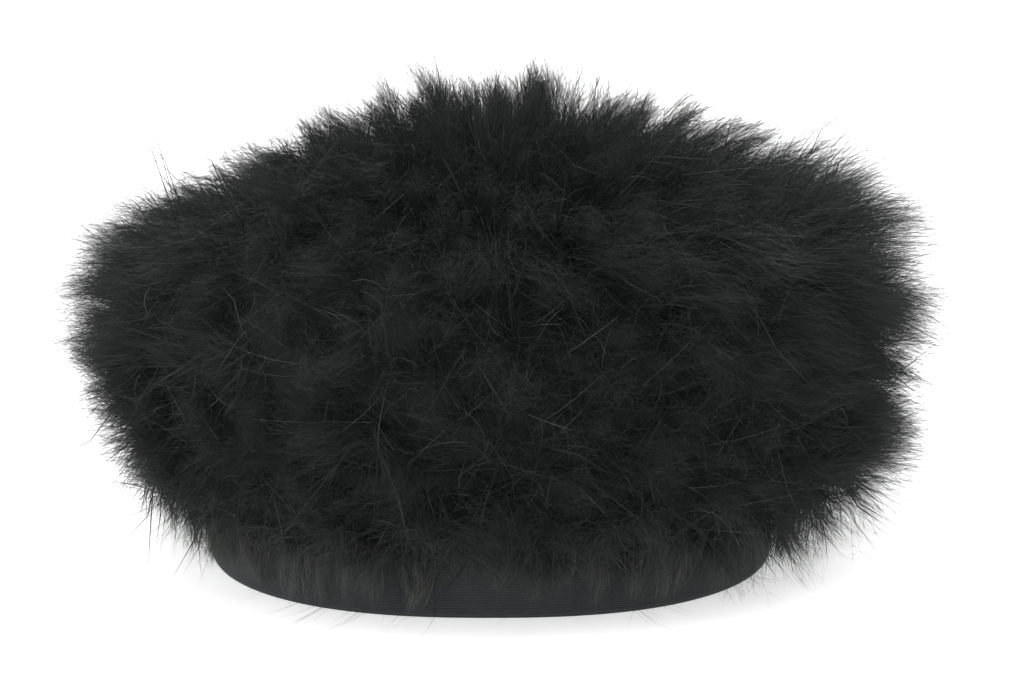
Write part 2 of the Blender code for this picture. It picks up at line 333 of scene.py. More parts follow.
def crown_seat(length, clearance):
    """Radius and height off the crown's section, and the way it faces, at a length up from the floor."""
    length = np.asarray(length, float)
    on_wall, on_dome = length <= WALL_TOP, length > SHOULDER_TOP
    facing = np.where(on_dome, math.pi / 2 - (CROWN_ARC - length) / DOME_RADIUS,
                      np.where(on_wall, 0, (length - WALL_TOP) / SHOULDER_RADIUS))
    centre_r = np.where(on_dome, 0, np.where(on_wall, CROWN_RADIUS, SHOULDER_CENTRE))
    centre_z = np.where(on_dome, CROWN_HEIGHT - DOME_RADIUS, np.where(on_wall, length, WALL_TOP))
    bend = np.where(on_dome, DOME_RADIUS, np.where(on_wall, 0, SHOULDER_RADIUS)) + clearance
    return centre_r + bend * np.cos(facing), centre_z + bend * np.sin(facing), facing


def plume_point(edge, angle, along):
    """Points in the field of plumes: edge counts up the rows, along runs from root, 0, to tip, 1."""
    edge, angle, along = np.broadcast_arrays(edge, angle, along)
    here = RowEdge(*(np.interp(edge, np.arange(ROWS + 1), column) for column in EDGE_COLUMNS))
    root_r, root_z, facing = crown_seat(FIRST_SEAT + (CROWN_ARC - FIRST_SEAT) * here.seat, ROOT_CLEARANCE)
    reach = PLUME_LENGTH * here.reach * (1 + here.fuller * np.cos(angle))
    reach = reach * (1 - here.parted * np.sin(angle) ** 2)
    rise = np.radians(here.rise)
    lift = PLUME_LENGTH * here.lift
    middle, far = 2 * along * (1 - along), along ** 2
    radius = root_r + middle * lift * np.cos(facing) + far * reach * np.cos(rise)
    height = root_z + middle * lift * np.sin(facing) + far * reach * np.sin(rise)
    return oval(np.maximum(radius, 0), angle, height)


def swayed_point(edge, angle, edge_sway, angle_sway, lean, along):
    """Points along strands that drift from the edge and angle where they start, the more they lean."""
    return plume_point(np.clip(edge[:, None] + edge_sway[:, None] * lean, 0, ROWS),
                       angle[:, None] + angle_sway[:, None] * lean, along)


def unit(vectors):
    """Vectors at length one."""
    return vectors / np.maximum(np.linalg.norm(vectors, axis=-1, keepdims=True), 1e-12)


def varied(kind, count, chance, about=0):
    """Random values within limits, about a usual value added to each one's own."""
    return np.clip(about + chance.normal(kind.usual, kind.spread, count), kind.least, kind.most)


def varied_width(width, spread, count, chance):
    """Random widths about a usual one."""
    return width * np.exp(chance.normal(0, spread, count))


def wave(swirl, edge, angle):
    """Slow wave round the hat and up the rows."""
    return swirl.size * np.sin(swirl.turns * angle + swirl.climb * edge + swirl.phase)


def mesh_object(name, mesh):
    """Object of a finished mesh, at the origin."""
    piece = bpy.data.objects.new(name, mesh)
    bpy.context.scene.collection.objects.link(piece)
    return piece


def scatter(row, count, chance):
    """Places for a row's plumes, as edge and angle, evenly spread over the outside of the fur."""
    edges = np.linspace(row, row + 1, SCATTER_POINTS)
    outside = plume_point(edges, SCATTER_ANGLE, FUR_OUTSIDE)
    spacing = np.linalg.norm(np.gradient(outside, axis=0), axis=1)
    density = np.cumsum(np.hypot(outside[:, 0], outside[:, 1]) * spacing)
    density = (density - density[0]) / (density[-1] - density[0])
    index = np.arange(count)
    up, around = [(index * step + chance.random()) % 1 for step in SURFACE_STEPS]
    return np.interp(up, density, edges), 2 * math.pi * around


def row_areas():
    """Area of the outside of the fur in each row, as shares of the whole."""
    areas = []
    edge_points, angle_points = AREA_POINTS
    angles = np.linspace(0, 2 * math.pi, angle_points)
    for row in range(ROWS):
        edges = np.linspace(row, row + 1, edge_points)
        points = plume_point(edges[:, None], angles[None, :], FUR_OUTSIDE)
        up = points[1:, :-1] - points[:-1, :-1]
        side = points[:-1, 1:] - points[:-1, :-1]
        areas.append(np.linalg.norm(np.cross(up, side), axis=-1).sum())
    areas[0] *= LOWEST_ROW_SHARE
    return np.array(areas) / sum(areas)


def lateral_frame(edge, angle, along):
    """Two directions across the flow of plumes: one up the rows and one round the hat."""
    ahead, behind = along + FLOW_STEP, along - FLOW_STEP
    forward = unit(plume_point(edge, angle, ahead) - plume_point(edge, angle, behind))
    above, below = np.minimum(edge + EDGE_STEP, ROWS), edge - EDGE_STEP
    up = plume_point(above, angle, along) - plume_point(below, angle, along)
    up = unit(up - forward * (up * forward).sum(-1, keepdims=True))
    return up, np.cross(forward, up)


def shade_tufts(edge, angle, chance):
    """Shade of each tuft, by where it starts: painted shade at the front, painted light at the sides and
    in the lowest rows.
    """
    # front marks the tufts that face the front, where the shade is painted
    front = np.maximum(-np.sin(angle), 0) * np.interp(edge, *FRONT_PAINTED_SHADE_EDGES)
    shade = chance.normal(TUFT_SHADE, TUFT_SHADE_SPREAD, len(edge)) - FRONT_PAINTED_SHADE * front
    return shade + SIDES_PAINTED_LIGHT * abs(np.cos(angle)) + np.interp(edge, *LOW_EDGES_PAINTED_LIGHT)


Plumes = namedtuple("Plumes", "edge angle edge_sway angle_sway pull length shade up side")
Strands = namedtuple("Strands", "centre width shade")
Faces = namedtuple("Faces", "points corners sizes uv")


def grow_plumes(row, count, chance):
    """A row's plumes: where they start, how they lean, and the tuft that each one's tip is drawn to."""
    edge, angle = scatter(row, count, chance)
    edge_sway = sum(wave(swirl, edge, angle) for swirl in EDGE_SWIRLS)
    angle_sway = sum(wave(swirl, edge, angle) for swirl in ANGLE_SWIRLS)
    edge_sway += chance.normal(0, EDGE_SWAY, count)
    angle_sway += chance.normal(0, ANGLE_SWAY, count)
    tips = plume_point(np.clip(edge + edge_sway, 0, ROWS), angle + angle_sway, 1)
    up, side = lateral_frame(edge, angle, SPLAY_FROM)
    tufts = np.arange(0, count, PLUMES_PER_TUFT)
    tuft = np.linalg.norm(tips[:, None] - tips[None, tufts], axis=-1).argmin(1)
    bend = chance.normal(0, TUFT_BEND, (2, len(tufts), 1))
    tuft_tips = tips[tufts] + bend[0] * up[tufts] + bend[1] * side[tufts]
    pull = (tuft_tips[tuft] - tips) * TUFT_PULL + chance.normal(0, PLUME_BEND, (count, 3))
    upswept = np.interp(edge, *UPSWEPT_EDGES)
    pull[:, 2] += UPSWEEP * upswept
    pull[:, :2] -= UPSWEEP * upswept[:, None] * np.stack([np.cos(angle), np.sin(angle)], -1)
    tuft_length = varied(TUFT_LENGTH, len(tufts), chance)
    length = tuft_length[tuft] * varied(LENGTH_IN_TUFT, count, chance)
    length *= 1 - UPSWEPT_SHORTER * upswept
    across = np.cos(angle)
    length *= 1 + np.maximum(-across, 0) * np.interp(edge, TRIMS.edge, TRIMS.left)
    length *= 1 + np.maximum(across, 0) * np.interp(edge, TRIMS.edge, TRIMS.right)
    # The tufts' shades hold painted shade at the front and painted light at the sides and low down
    tuft_shade = shade_tufts(edge[tufts], angle[tufts], chance)
    shade = varied(SHADE_IN_TUFT, count, chance, about=tuft_shade[tuft])
    return Plumes(edge, angle, edge_sway, angle_sway, pull, length, shade, up, side)


def grow_barbs(plumes, layer, chance):
    """One layer of barbs, which leave their plumes, stand out from them and close up again."""
    of = np.repeat(np.arange(len(plumes.edge)), layer.per_plume)
    count = len(of)
    start = chance.uniform(layer.start_least, layer.start_most, count)
    later = (start - layer.start_least) / (layer.start_most - layer.start_least)
    end = layer.end + layer.end_gain * later + chance.normal(0, layer.end_spread, count)
    end = np.maximum(plumes.length[of] * end, start + LEAST_BARB)
    splay = np.abs(chance.normal(layer.splay, layer.splay * SPLAY_SPREAD, count))
    splay = np.radians(np.minimum(splay, MOST_SPLAY))
    turn = chance.uniform(0, 2 * math.pi, count)[:, None, None]
    spread = PLUME_LENGTH * (end - start) * np.tan(splay)
    curl = chance.normal(0, BARB_CURL, (count, 3))
    droop = chance.uniform(0, BARB_DROOP, count)

    share = np.linspace(0, 1, layer.points)[None, :]
    along = start[:, None] + (end - start)[:, None] * share
    lean = np.clip(along, 0, MOST_LEAN) ** 2
    centre = swayed_point(plumes.edge[of], plumes.angle[of], plumes.edge_sway[of], plumes.angle_sway[of],
                          lean, along)
    centre = centre + plumes.pull[of, None] * lean[..., None] * layer.drawn
    out = spread[:, None] * share * (1 + BULGE * layer.closing * (1 - share) - layer.closing * share)
    way_out = np.cos(turn) * plumes.up[of, None] + np.sin(turn) * plumes.side[of, None]
    centre = centre + out[..., None] * way_out
    centre = centre + (share ** 2)[..., None] * curl[:, None]
    centre[..., 2] -= droop[:, None] * share ** 2
    width = varied_width(layer.width, BARB_WIDTH_SPREAD, count, chance)
    # A layer's shade share darkens the under-down, painted shade of depth
    shade = varied(BARB_SHADE, count, chance, about=plumes.shade[of] * layer.shade)
    return Strands(centre, width, shade)


def grow_barbules(strands, count, chance):
    """Fine short down along the outer part of strands, a sliver each, a little lighter than they are."""
    of = chance.integers(0, len(strands.centre), count)
    place = chance.uniform(*BARBULE_PLACES, count) * (strands.centre.shape[1] - 1)
    step = place.astype(int)
    rest = (place - step)[:, None]
    near, far = strands.centre[of, step], strands.centre[of, step + 1]
    base = near * (1 - rest) + far * rest
    forward = unit(far - near)
    out = unit(np.cross(forward, unit(chance.normal(0, 1, (count, 3)))))
    slant = np.radians(chance.uniform(*BARBULE_SLANTS, count))[:, None]
    length = chance.uniform(*BARBULE_LENGTHS, count)[:, None]
    tip = base + length * (forward * np.cos(slant) + out * np.sin(slant))
    width = varied_width(BARBULE_WIDTH, HAIR_WIDTH_SPREAD, count, chance)
    lighter = np.minimum(strands.shade[of] + BARBULE_LIGHTER, BARB_SHADE.most)
    return Strands(np.stack([base, tip], 1), width, np.maximum(strands.shade[of], lighter))


def grow_strays(row, count, chance):
    """Long single hairs that lie across the plumes near the surface, with painted highlights in their
    light shades.
    """
    edge, angle = scatter(row, count, chance)
    start = chance.uniform(*STRAY_STARTS, count)
    reach = chance.uniform(*STRAY_REACHES, count)
    edge_sway = chance.normal(0, STRAY_EDGE_SWAY, count)
    angle_sway = chance.normal(0, STRAY_ANGLE_SWAY, count)
    curl = chance.normal(0, STRAY_CURL, (count, 3))
    share = np.linspace(0, 1, STRAY_POINTS)[None, :]
    along = start[:, None] + reach[:, None] * share
    centre = swayed_point(edge, angle, edge_sway, angle_sway, share, along)
    centre = centre + (share ** 2)[..., None] * curl[:, None]
    width = varied_width(STRAY_WIDTH, HAIR_WIDTH_SPREAD, count, chance)
    # Light shades: painted highlights of single hairs
    darkest, lightest = STRAY_PAINTED_HIGHLIGHTS
    shade = darkest + (lightest - darkest) * chance.uniform(0, 1, count) ** 2
    return Strands(centre, width, shade)


def keep_off_band(centre):
    """Strand points moved out to the band's face where they would pass through it."""
    x, y, z = centre[..., 0], centre[..., 1], centre[..., 2]
    level = ((abs(x) / BAND_RADIUS) ** OVAL_SQUARENESS
             + (abs(y) / (BAND_RADIUS + OVAL_EXTRA)) ** OVAL_SQUARENESS) ** (1 / OVAL_SQUARENESS)
    push = np.where(z < BAND_HEIGHT + ABOVE_BAND, np.maximum(OFF_BAND / level, 1), 1)
    return np.stack([x * push, y * push, z], -1)


def hang_plumes(chance):
    """Root, bow and end of each limp plume, which swing and drop with their lock."""
    count = HANGING_PLUMES
    angle = 2 * math.pi * (np.arange(count) * RING_STEP % 1)
    lock_angle = chance.normal(0, LOCK_SWAY, HANGING_LOCKS)
    lock_angle = lock_angle + 2 * math.pi * np.arange(HANGING_LOCKS) / HANGING_LOCKS
    lock = np.floor(angle / (2 * math.pi) * HANGING_LOCKS).astype(int)
    sway = (lock_angle[lock] + math.pi / HANGING_LOCKS - angle) * LOCK_PULL
    sway = sway + chance.normal(0, SWAY_IN_LOCK, count)
    drop = chance.normal(0, LOCK_DROP, HANGING_LOCKS)[lock]
    close = 1 - LEFT_CLOSER * np.maximum(-np.cos(angle), 0) ** 4
    root = oval(BAND_RADIUS + chance.uniform(*ROOTS_OUT, count) * close, angle,
                BAND_HEIGHT + chance.uniform(*ROOTS_UP, count))
    bow = oval(BAND_RADIUS + chance.uniform(*BOWS_OUT, count) * close, angle + sway * BOW_SWAY,
               BAND_HEIGHT - chance.uniform(*BOWS_DOWN, count))
    height = chance.normal(END_HEIGHT, END_HEIGHT_SPREAD, count) - SIDES_LOWER * abs(np.cos(angle))
    height = np.maximum(height + drop, LEAST_END_HEIGHT)
    end = oval(BAND_RADIUS + chance.uniform(*ENDS_OUT, count) * close, angle + sway, height)
    return root, bow, end


def hang_barbs(chance):
    """Barbs of the lowest row's limp plumes, which hang down over the band, some nearly to the floor, in
    light shades of painted light.
    """
    root, bow, tip = hang_plumes(chance)
    of = np.repeat(np.arange(HANGING_PLUMES), HANGING_BARBS)
    count = len(of)
    share = np.linspace(0, 1, HANGING_POINTS)[None, :, None]
    start = chance.uniform(*HANGING_STARTS, count)[:, None, None]
    end = chance.normal(HANGING_END, HANGING_END_SPREAD, count)[:, None, None]
    along = start + (np.maximum(end, start + LEAST_HANGING_BARB) - start) * share
    centre = (root[of, None] * (1 - along) ** 2 + bow[of, None] * 2 * along * (1 - along)
              + tip[of, None] * along ** 2)
    spread = unit(chance.normal(0, 1, (count, 1, 3)))
    spread = spread * np.abs(chance.normal(0, HANGING_SPREAD, count))[:, None, None]
    centre = centre + spread * share * (HANGING_BULGE - HANGING_CLOSING * share)
    width = varied_width(HANGING_WIDTH, HANGING_WIDTH_SPREAD, count, chance)
    plume_shade = chance.normal(0, HANGING_PAINTED_LIGHT.spread, HANGING_PLUMES)
    # Light shades here are painted light on the hanging barbs
    shade = varied(HANGING_PAINTED_LIGHT, count, chance, about=plume_shade[of])
    return Strands(keep_off_band(centre), width, shade)


def trail_hairs(chance):
    """Long loose hairs that come down past the rim onto the floor in front, as in the photo."""
    angles = np.linspace(-math.pi, 0, RIM_POINTS)
    rim = oval(BAND_RADIUS, angles, 0.0)
    turned = np.linspace(0, 1, len(TRAIL_STEPS.out)) ** TRAIL_DRIFT_POWER
    lines = []
    for trail in TRAILS:
        for _ in range(trail.hairs):
            x = trail.x + chance.normal(0, TRAIL_SCATTER)
            angle = np.interp(x, rim[:, 0], angles)
            drift = chance.normal(0, TRAIL_DRIFT)
            past = trail.past * chance.uniform(*TRAIL_LENGTHS)
            radii = BAND_RADIUS + TRAIL_STEPS.out + TRAIL_STEPS.past * past
            lines.append(oval(radii, angle + drift * turned, TRAIL_STEPS.height))
    count = len(lines)
    width = np.full(count, HANGING_WIDTH * TRAIL_WIDER)
    return Strands(np.array(lines), width, chance.uniform(*TRAIL_SHADES, count))


def ribbons(strands, chance):
    """Tapered ribbons along the strands that stay within the room round the solids."""
    inside = ((strands.centre > LEAST_CORNER) & (strands.centre < MOST_CORNER)).all((1, 2))
    centre, width, shade = (values[inside] for values in strands)
    count, steps, _ = centre.shape
    forward = unit(np.gradient(centre, axis=1))
    roll = unit(chance.normal(0, 1, (count, 1, 3)))
    across = unit(np.cross(forward, roll))
    taper = np.interp(np.linspace(0, 1, steps), *TAPER)[None, :, None]
    half = across * width[:, None, None] * taper / 2
    left, right = centre - half, centre + half
    pairs = np.stack([left[:, :-1], right[:, :-1]], 2).reshape(count, -1, 3)
    points = np.concatenate([pairs, centre[:, -1:]], 1)
    stride = 2 * steps - 1
    quads = [[2 * step, 2 * step + 1, 2 * step + 3, 2 * step + 2] for step in range(steps - 2)]
    tip = [stride - 3, stride - 2, stride - 1]
    corners = np.array([corner for quad in quads for corner in quad] + tip)
    side = np.where(corners == stride - 1, 0.0, corners % 2 - 0.5)
    loops = (np.arange(count)[:, None] * stride + corners[None, :]).ravel()
    uv = np.empty((count, len(corners), 2))
    uv[..., 0] = shade[:, None] + side * SHADE_WIDTH
    uv[..., 1] = MAP_MARGIN + (1 - 2 * MAP_MARGIN) * (corners // 2) / (steps - 1)
    return Faces(points.reshape(-1, 3), loops, np.tile([4] * (steps - 2) + [3], count), uv.reshape(-1, 2))


def core_of_row(row):
    """Closed ring of packed down under a row's barbs, lumpy outside and smooth on the crown."""
    top = LAST_TIER if row == ROWS - 1 else 1.0
    bm = bmesh.new()
    heights = [row + top * step / CORE_TIERS for step in range(CORE_TIERS + 1)]
    inner = [bm.verts.new((1.0, 0, height)) for height in heights]
    outer = [bm.verts.new((1 + CORE_DEPTH, 0, height)) for height in reversed(heights)]
    chain = inner + outer
    for first, second in zip(chain, chain[1:] + chain[:1]):
        bm.edges.new((first, second))
    bmesh.ops.spin(bm, geom=bm.verts[:] + bm.edges[:], axis=(0, 0, 1), cent=(0, 0, 0),
                   angle=2 * math.pi, steps=CORE_COLUMNS, use_merge=True)
    flat = np.array([vert.co for vert in bm.verts])
    edge, angle = flat[:, 2], np.arctan2(flat[:, 1], flat[:, 0])
    along = np.hypot(flat[:, 0], flat[:, 1]) - 1
    lumps = wave(CORE_LUMPS[0], edge, angle) * wave(CORE_LUMPS[1], edge, angle)
    along = np.where(along > LUMPS_FROM, along + lumps, along)
    for vert, place in zip(bm.verts, plume_point(edge, angle, along)):
        vert.co = place
    bmesh.ops.remove_doubles(bm, verts=bm.verts[:], dist=MERGE_DISTANCE)
    bmesh.ops.recalc_face_normals(bm, faces=bm.faces[:])
    bmesh.ops.triangulate(bm, faces=bm.faces[:])
    points = np.array([vert.co for vert in bm.verts])
    corners = np.array([[vert.index for vert in face.verts] for face in bm.faces])
    bm.free()
    uv = np.tile([[0.0, 0.0], [SHADE_WIDTH, 0.0], [0.0, SHADE_WIDTH]], (len(corners), 1))
    return Faces(points, corners.ravel(), np.full(len(corners), 3), uv)


def joined_mesh(name, parts, finishes):
    """One mesh of several sets of faces, each set in its own finish."""
    mesh = bpy.data.meshes.new(name)
    offsets = np.cumsum([0] + [len(part.points) for part in parts])
    points = np.concatenate([part.points for part in parts])
    loops = np.concatenate([part.corners + offset for part, offset in zip(parts, offsets)])
    sizes = np.concatenate([part.sizes for part in parts])
    starts = np.concatenate([[0], np.cumsum(sizes)[:-1]])
    uv = np.concatenate([part.uv for part in parts])
    mesh.vertices.add(len(points))
    mesh.vertices.foreach_set("co", points.astype(np.float32).ravel())
    mesh.loops.add(len(loops))
    mesh.loops.foreach_set("vertex_index", loops.astype(np.int32))
    mesh.polygons.add(len(sizes))
    mesh.polygons.foreach_set("loop_start", starts.astype(np.int32))
    mesh.update(calc_edges=True)
    mesh.uv_layers.new(name="OFBake").data.foreach_set("uv", uv.astype(np.float32).ravel())
    order = list(dict.fromkeys(finishes))
    for finish in order:
        mesh.materials.append(finish)
    kinds = [np.full(len(part.sizes), order.index(finish)) for part, finish in zip(parts, finishes)]
    mesh.polygons.foreach_set("material_index", np.concatenate(kinds).astype(np.int32))
    mesh.shade_smooth()
    mesh.validate()
    return mesh


def marabou_piece(row, share, packed, downy):
    """A row of plumes in place of its solid: packed core, under-down, barbs, barbules and stray hairs."""
    name = "marabou_centre" if row == ROWS - 1 else f"marabou_row_{row + 1}"
    chance = np.random.default_rng(RANDOM_SEED + row)
    plumes = grow_plumes(row, round(PLUMES * share), chance)
    layers = [grow_barbs(plumes, layer, chance) for layer in (UNDER_DOWN, LONG_BARBS, SHORT_BARBS)]
    fringe = layers[1:]
    layers.append(grow_strays(row, round(STRAY_HAIRS * share), chance))
    layers += [grow_barbules(barbs, BARBULES_PER_PLUME * len(plumes.edge), chance) for barbs in fringe]
    if row == 0:
        hanging = hang_barbs(chance)
        layers += [hanging, grow_barbules(hanging, len(hanging.centre), chance), trail_hairs(chance)]
    parts = [core_of_row(row)] + [ribbons(strands, chance) for strands in layers]
    finishes = [packed] + [downy] * len(layers)
    piece = mesh_object(name + "_plumes", joined_mesh(name + "_plumes", parts, finishes))
    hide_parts(name)
    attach(piece, "root")
    return piece


def shader_material(name, roughness, specular):
    """New material, its nodes and its Principled shader."""
    finish = bpy.data.materials.new(name)
    finish.use_nodes = True
    shader = finish.node_tree.nodes["Principled BSDF"]
    shader.inputs["Roughness"].default_value = roughness
    shader.inputs["Specular IOR Level"].default_value = specular
    return finish, finish.node_tree, shader


def plug(tree, value, socket):
    """Number or colour set on a socket, or another node's output led to it."""
    if isinstance(value, bpy.types.NodeSocket):
        tree.links.new(value, socket)
    else:
        socket.default_value = value


def own_map(tree):
    """The piece's own map."""
    place = tree.nodes.new("ShaderNodeUVMap")
    place.uv_map = "OFBake"
    return place.outputs["UV"]


def split_axes(tree, vector):
    """A vector's values, by the names of its axes."""
    split = tree.nodes.new("ShaderNodeSeparateXYZ")
    plug(tree, vector, split.inputs[0])
    return split.outputs


def colour_mix(tree, kind, factor, first, second):
    """Two colours mixed."""
    mix = tree.nodes.new("ShaderNodeMix")
    mix.data_type = "RGBA"
    mix.blend_type = kind
    colour_inputs = [socket for socket in mix.inputs if socket.type == "RGBA"]
    for value, socket in zip((factor, first, second), [mix.inputs["Factor"]] + colour_inputs):
        plug(tree, value, socket)
    return next(socket for socket in mix.outputs if socket.type == "RGBA")


def value_range(tree, value, lowest, least, most):
    """A value that runs from its lowest to one, spread from the least to the most."""
    spread = tree.nodes.new("ShaderNodeMapRange")
    plug(tree, value, spread.inputs["Value"])
    spread.inputs["From Min"].default_value = lowest
    spread.inputs["To Min"].default_value = least
    spread.inputs["To Max"].default_value = most
    return spread.outputs["Result"]


def packed_finish():
    """Depth of the down, where no light comes back out."""
    finish, _, shader = shader_material("packed_down", roughness=1, specular=0)
    shader.inputs["Base Color"].default_value = (*PACKED_COLOUR, 1)
    return finish


def marabou_finish():
    """Black down: each barb has its own shade, with painted shade that darkens it towards the root, and a
    soft sheen.
    """
    finish, tree, shader = shader_material("marabou_down", roughness=0.65, specular=0.12)
    place = split_axes(tree, own_map(tree))
    shade = tree.nodes.new("ShaderNodeValToRGB")
    stops = shade.color_ramp.elements
    stops[0].color = (*DOWN_COLOURS[0][1], 1)
    stops[1].color = (*DOWN_COLOURS[-1][1], 1)
    for position, colour in DOWN_COLOURS[1:-1]:
        stops.new(position).color = (*colour, 1)
    tree.links.new(place["X"], shade.inputs[0])
    # Painted shade: the colour darkens towards the root and lightens towards the tip
    tone = value_range(tree, place["Y"], 0, ROOT_PAINTED_SHADE, TIP_PAINTED_LIGHT)
    colour = colour_mix(tree, "MULTIPLY", 1, shade.outputs["Color"], tone)
    tree.links.new(colour, shader.inputs["Base Color"])
    return finish


def woven_group():
    """Threads of a woven cloth: level ribs of one pitch, crossed by fine threads round the hat. Its
    colour follows its height, with painted shade in the grooves.
    """
    tree = bpy.data.node_groups.new("woven_threads", "ShaderNodeTree")
    face = tree.interface
    for name, kind in (("Turn", "NodeSocketFloat"), ("Rise", "NodeSocketFloat"),
                       ("Place", "NodeSocketVector"), ("Threads", "NodeSocketFloat"),
                       ("Ribs per metre", "NodeSocketFloat"), ("Dark", "NodeSocketColor"),
                       ("Light", "NodeSocketColor")):
        face.new_socket(name, in_out="INPUT", socket_type=kind)
    face.new_socket("Color", in_out="OUTPUT", socket_type="NodeSocketColor")
    face.new_socket("Height", in_out="OUTPUT", socket_type="NodeSocketFloat")
    source = tree.nodes.new("NodeGroupInput").outputs
    result = tree.nodes.new("NodeGroupOutput").inputs

    def math_node(operation, first, second):
        node = tree.nodes.new("ShaderNodeMath")
        node.operation = operation
        plug(tree, first, node.inputs[0])
        plug(tree, second, node.inputs[1])
        return node.outputs[0]

    def ridges(place, count, tone):
        up_and_down = math_node("PINGPONG", math_node("MULTIPLY", place, count), 0.5)
        return math_node("MULTIPLY", up_and_down, tone)

    ribs = ridges(source["Rise"], source["Ribs per metre"], RIB_TONE)
    threads = ridges(source["Turn"], source["Threads"], THREAD_TONE)
    weave = math_node("ADD", ribs, threads)
    fibres = tree.nodes.new("ShaderNodeTexNoise")
    fibres.inputs["Scale"].default_value = FIBRE_SCALE
    fibres.inputs["Detail"].default_value = FIBRE_DETAIL
    tree.links.new(source["Place"], fibres.inputs["Vector"])
    share = math_node("MULTIPLY", weave, math_node("ADD", fibres.outputs["Fac"], LEAST_FIBRE))
    # The weave's height also sets its colour: painted shade in the grooves, lighter on the crests
    tree.links.new(colour_mix(tree, "MIX", share, source["Dark"], source["Light"]), result["Color"])
    tree.links.new(weave, result["Height"])
    return tree


def cloth_finish(name, woven, cloth):
    """Black woven cloth, with its ribs level and its threads on the piece's own map."""
    finish, tree, shader = shader_material(name, roughness=0.8, specular=0.3)
    place = tree.nodes.new("ShaderNodeTexCoord").outputs["Object"]
    weave = tree.nodes.new("ShaderNodeGroup")
    weave.node_tree = woven
    plug(tree, split_axes(tree, own_map(tree))["X"], weave.inputs["Turn"])
    plug(tree, split_axes(tree, place)["Z"], weave.inputs["Rise"])
    plug(tree, place, weave.inputs["Place"])
    plug(tree, cloth.threads, weave.inputs["Threads"])
    plug(tree, 1 / cloth.rib_pitch, weave.inputs["Ribs per metre"])
    plug(tree, (*cloth.dark, 1), weave.inputs["Dark"])
    plug(tree, (*cloth.light, 1), weave.inputs["Light"])
    tree.links.new(weave.outputs["Color"], shader.inputs["Base Color"])
    bump = tree.nodes.new("ShaderNodeBump")
    bump.inputs["Strength"].default_value = RELIEF_STRENGTH
    bump.inputs["Distance"].default_value = cloth.relief
    tree.links.new(weave.outputs["Height"], bump.inputs["Height"])
    tree.links.new(bump.outputs["Normal"], shader.inputs["Normal"])
    return finish


def turned_cloth(name, section, closed, steps, finish):
    """Cloth piece turned from a section of radius and height, stretched to the head's oval."""
    bm = bmesh.new()
    run = bm.verts.layers.float.new("run")
    chain = [bm.verts.new((radius, 0, height)) for radius, height in section]
    lengths = np.cumsum([0] + [math.dist(a, b) for a, b in zip(section, section[1:] + section[:1])])
    for vert, length in zip(chain, lengths):
        vert[run] = length / lengths[-1 if closed else -2]
    for first, second in zip(chain, chain[1:] + (chain[:1] if closed else [])):
        bm.edges.new((first, second))
    bmesh.ops.spin(bm, geom=bm.verts[:] + bm.edges[:], axis=(0, 0, 1), cent=(0, 0, 0),
                   angle=2 * math.pi, steps=steps, use_merge=True)
    flat = np.array([vert.co for vert in bm.verts])
    angle = np.arctan2(flat[:, 1], flat[:, 0])
    for vert, place in zip(bm.verts, oval(np.hypot(flat[:, 0], flat[:, 1]), angle, flat[:, 2])):
        vert.co = place
    bmesh.ops.remove_doubles(bm, verts=bm.verts[:], dist=MERGE_DISTANCE)
    bmesh.ops.recalc_face_normals(bm, faces=bm.faces[:])
    layer = bm.loops.layers.uv.new("OFBake")
    for face in bm.faces:
        turns = [math.atan2(vert.co.y, vert.co.x) / (2 * math.pi) + 0.5 for vert in face.verts]
        runs = [vert[run] for vert in face.verts]
        for loop, turn, along in zip(face.loops, turns, runs):
            turn += 1 if max(turns) - turn > 0.5 else 0
            along += 1 if max(runs) - along > 0.5 else 0
            loop[layer].uv = (turn, along)
    mesh = bpy.data.meshes.new(name)
    bm.to_mesh(mesh)
    bm.free()
    mesh.materials.append(finish)
    mesh.shade_smooth()
    mesh.set_sharp_from_angle(angle=CREASE)
    piece = mesh_object(name, mesh)
    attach(piece, "root")
    return piece


def crown_piece(woven):
    """Hollow cap, smoother than its solid and within it."""
    lengths = np.concatenate([np.linspace(CROWN_FOOT, WALL_TOP, WALL_POINTS)[:-1],
                              np.linspace(WALL_TOP, SHOULDER_TOP, SHOULDER_POINTS)[:-1],
                              np.linspace(SHOULDER_TOP, CROWN_ARC, DOME_POINTS)])
    inside = list(zip(*crown_seat(lengths, -CROWN_WALL)[:2]))
    outside = list(zip(*crown_seat(lengths, 0)[:2]))
    finish = cloth_finish("crown_cloth", woven, CROWN_CLOTH)
    section = inside[::-1] + outside
    piece = turned_cloth("crown_cloth", section, False, CROWN_COLUMNS, finish)
    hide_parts("crown")
    return piece


def band_piece(woven):
    """Ribbed strip: fine level ribs outside, a smooth fold below and a turned-up hem inside."""
    section = [(HEM_RADIUS + out, height) for out, height in FOLD_INSIDE]
    section += [(BAND_RADIUS - back, height) for back, height in FOLD_OUTSIDE]
    ribs = int((BAND_HEIGHT - TOP_EDGE) / RIB_PITCH)
    for rib in range(FIRST_RIB, ribs):
        height = rib * RIB_PITCH
        section.append((BAND_RADIUS - RIB_DEPTH, height))
        section += [(BAND_RADIUS, height + RIB_PITCH * crest) for crest in RIB_CREST]
    hem_face = HEM_RADIUS + BAND_WALL
    section += [(BAND_RADIUS - RIB_DEPTH, ribs * RIB_PITCH), (BAND_RADIUS - EDGE_ROUND, BAND_HEIGHT)]
    section += [(BAND_RADIUS - BAND_WALL, BAND_HEIGHT), (BAND_RADIUS - BAND_WALL, BAND_WALL)]
    section += [(hem_face, BAND_WALL), (hem_face, HEM_TURN - EDGE_ROUND)]
    section += [(hem_face - EDGE_ROUND, HEM_TURN), (HEM_RADIUS + EDGE_ROUND, HEM_TURN)]
    section += [(HEM_RADIUS, HEM_TURN - EDGE_ROUND)]
    finish = cloth_finish("ribbed_band", woven, RIBBED_CLOTH)
    piece = turned_cloth("ribbed_band", section, True, BAND_COLUMNS, finish)
    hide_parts("band")
    return piece


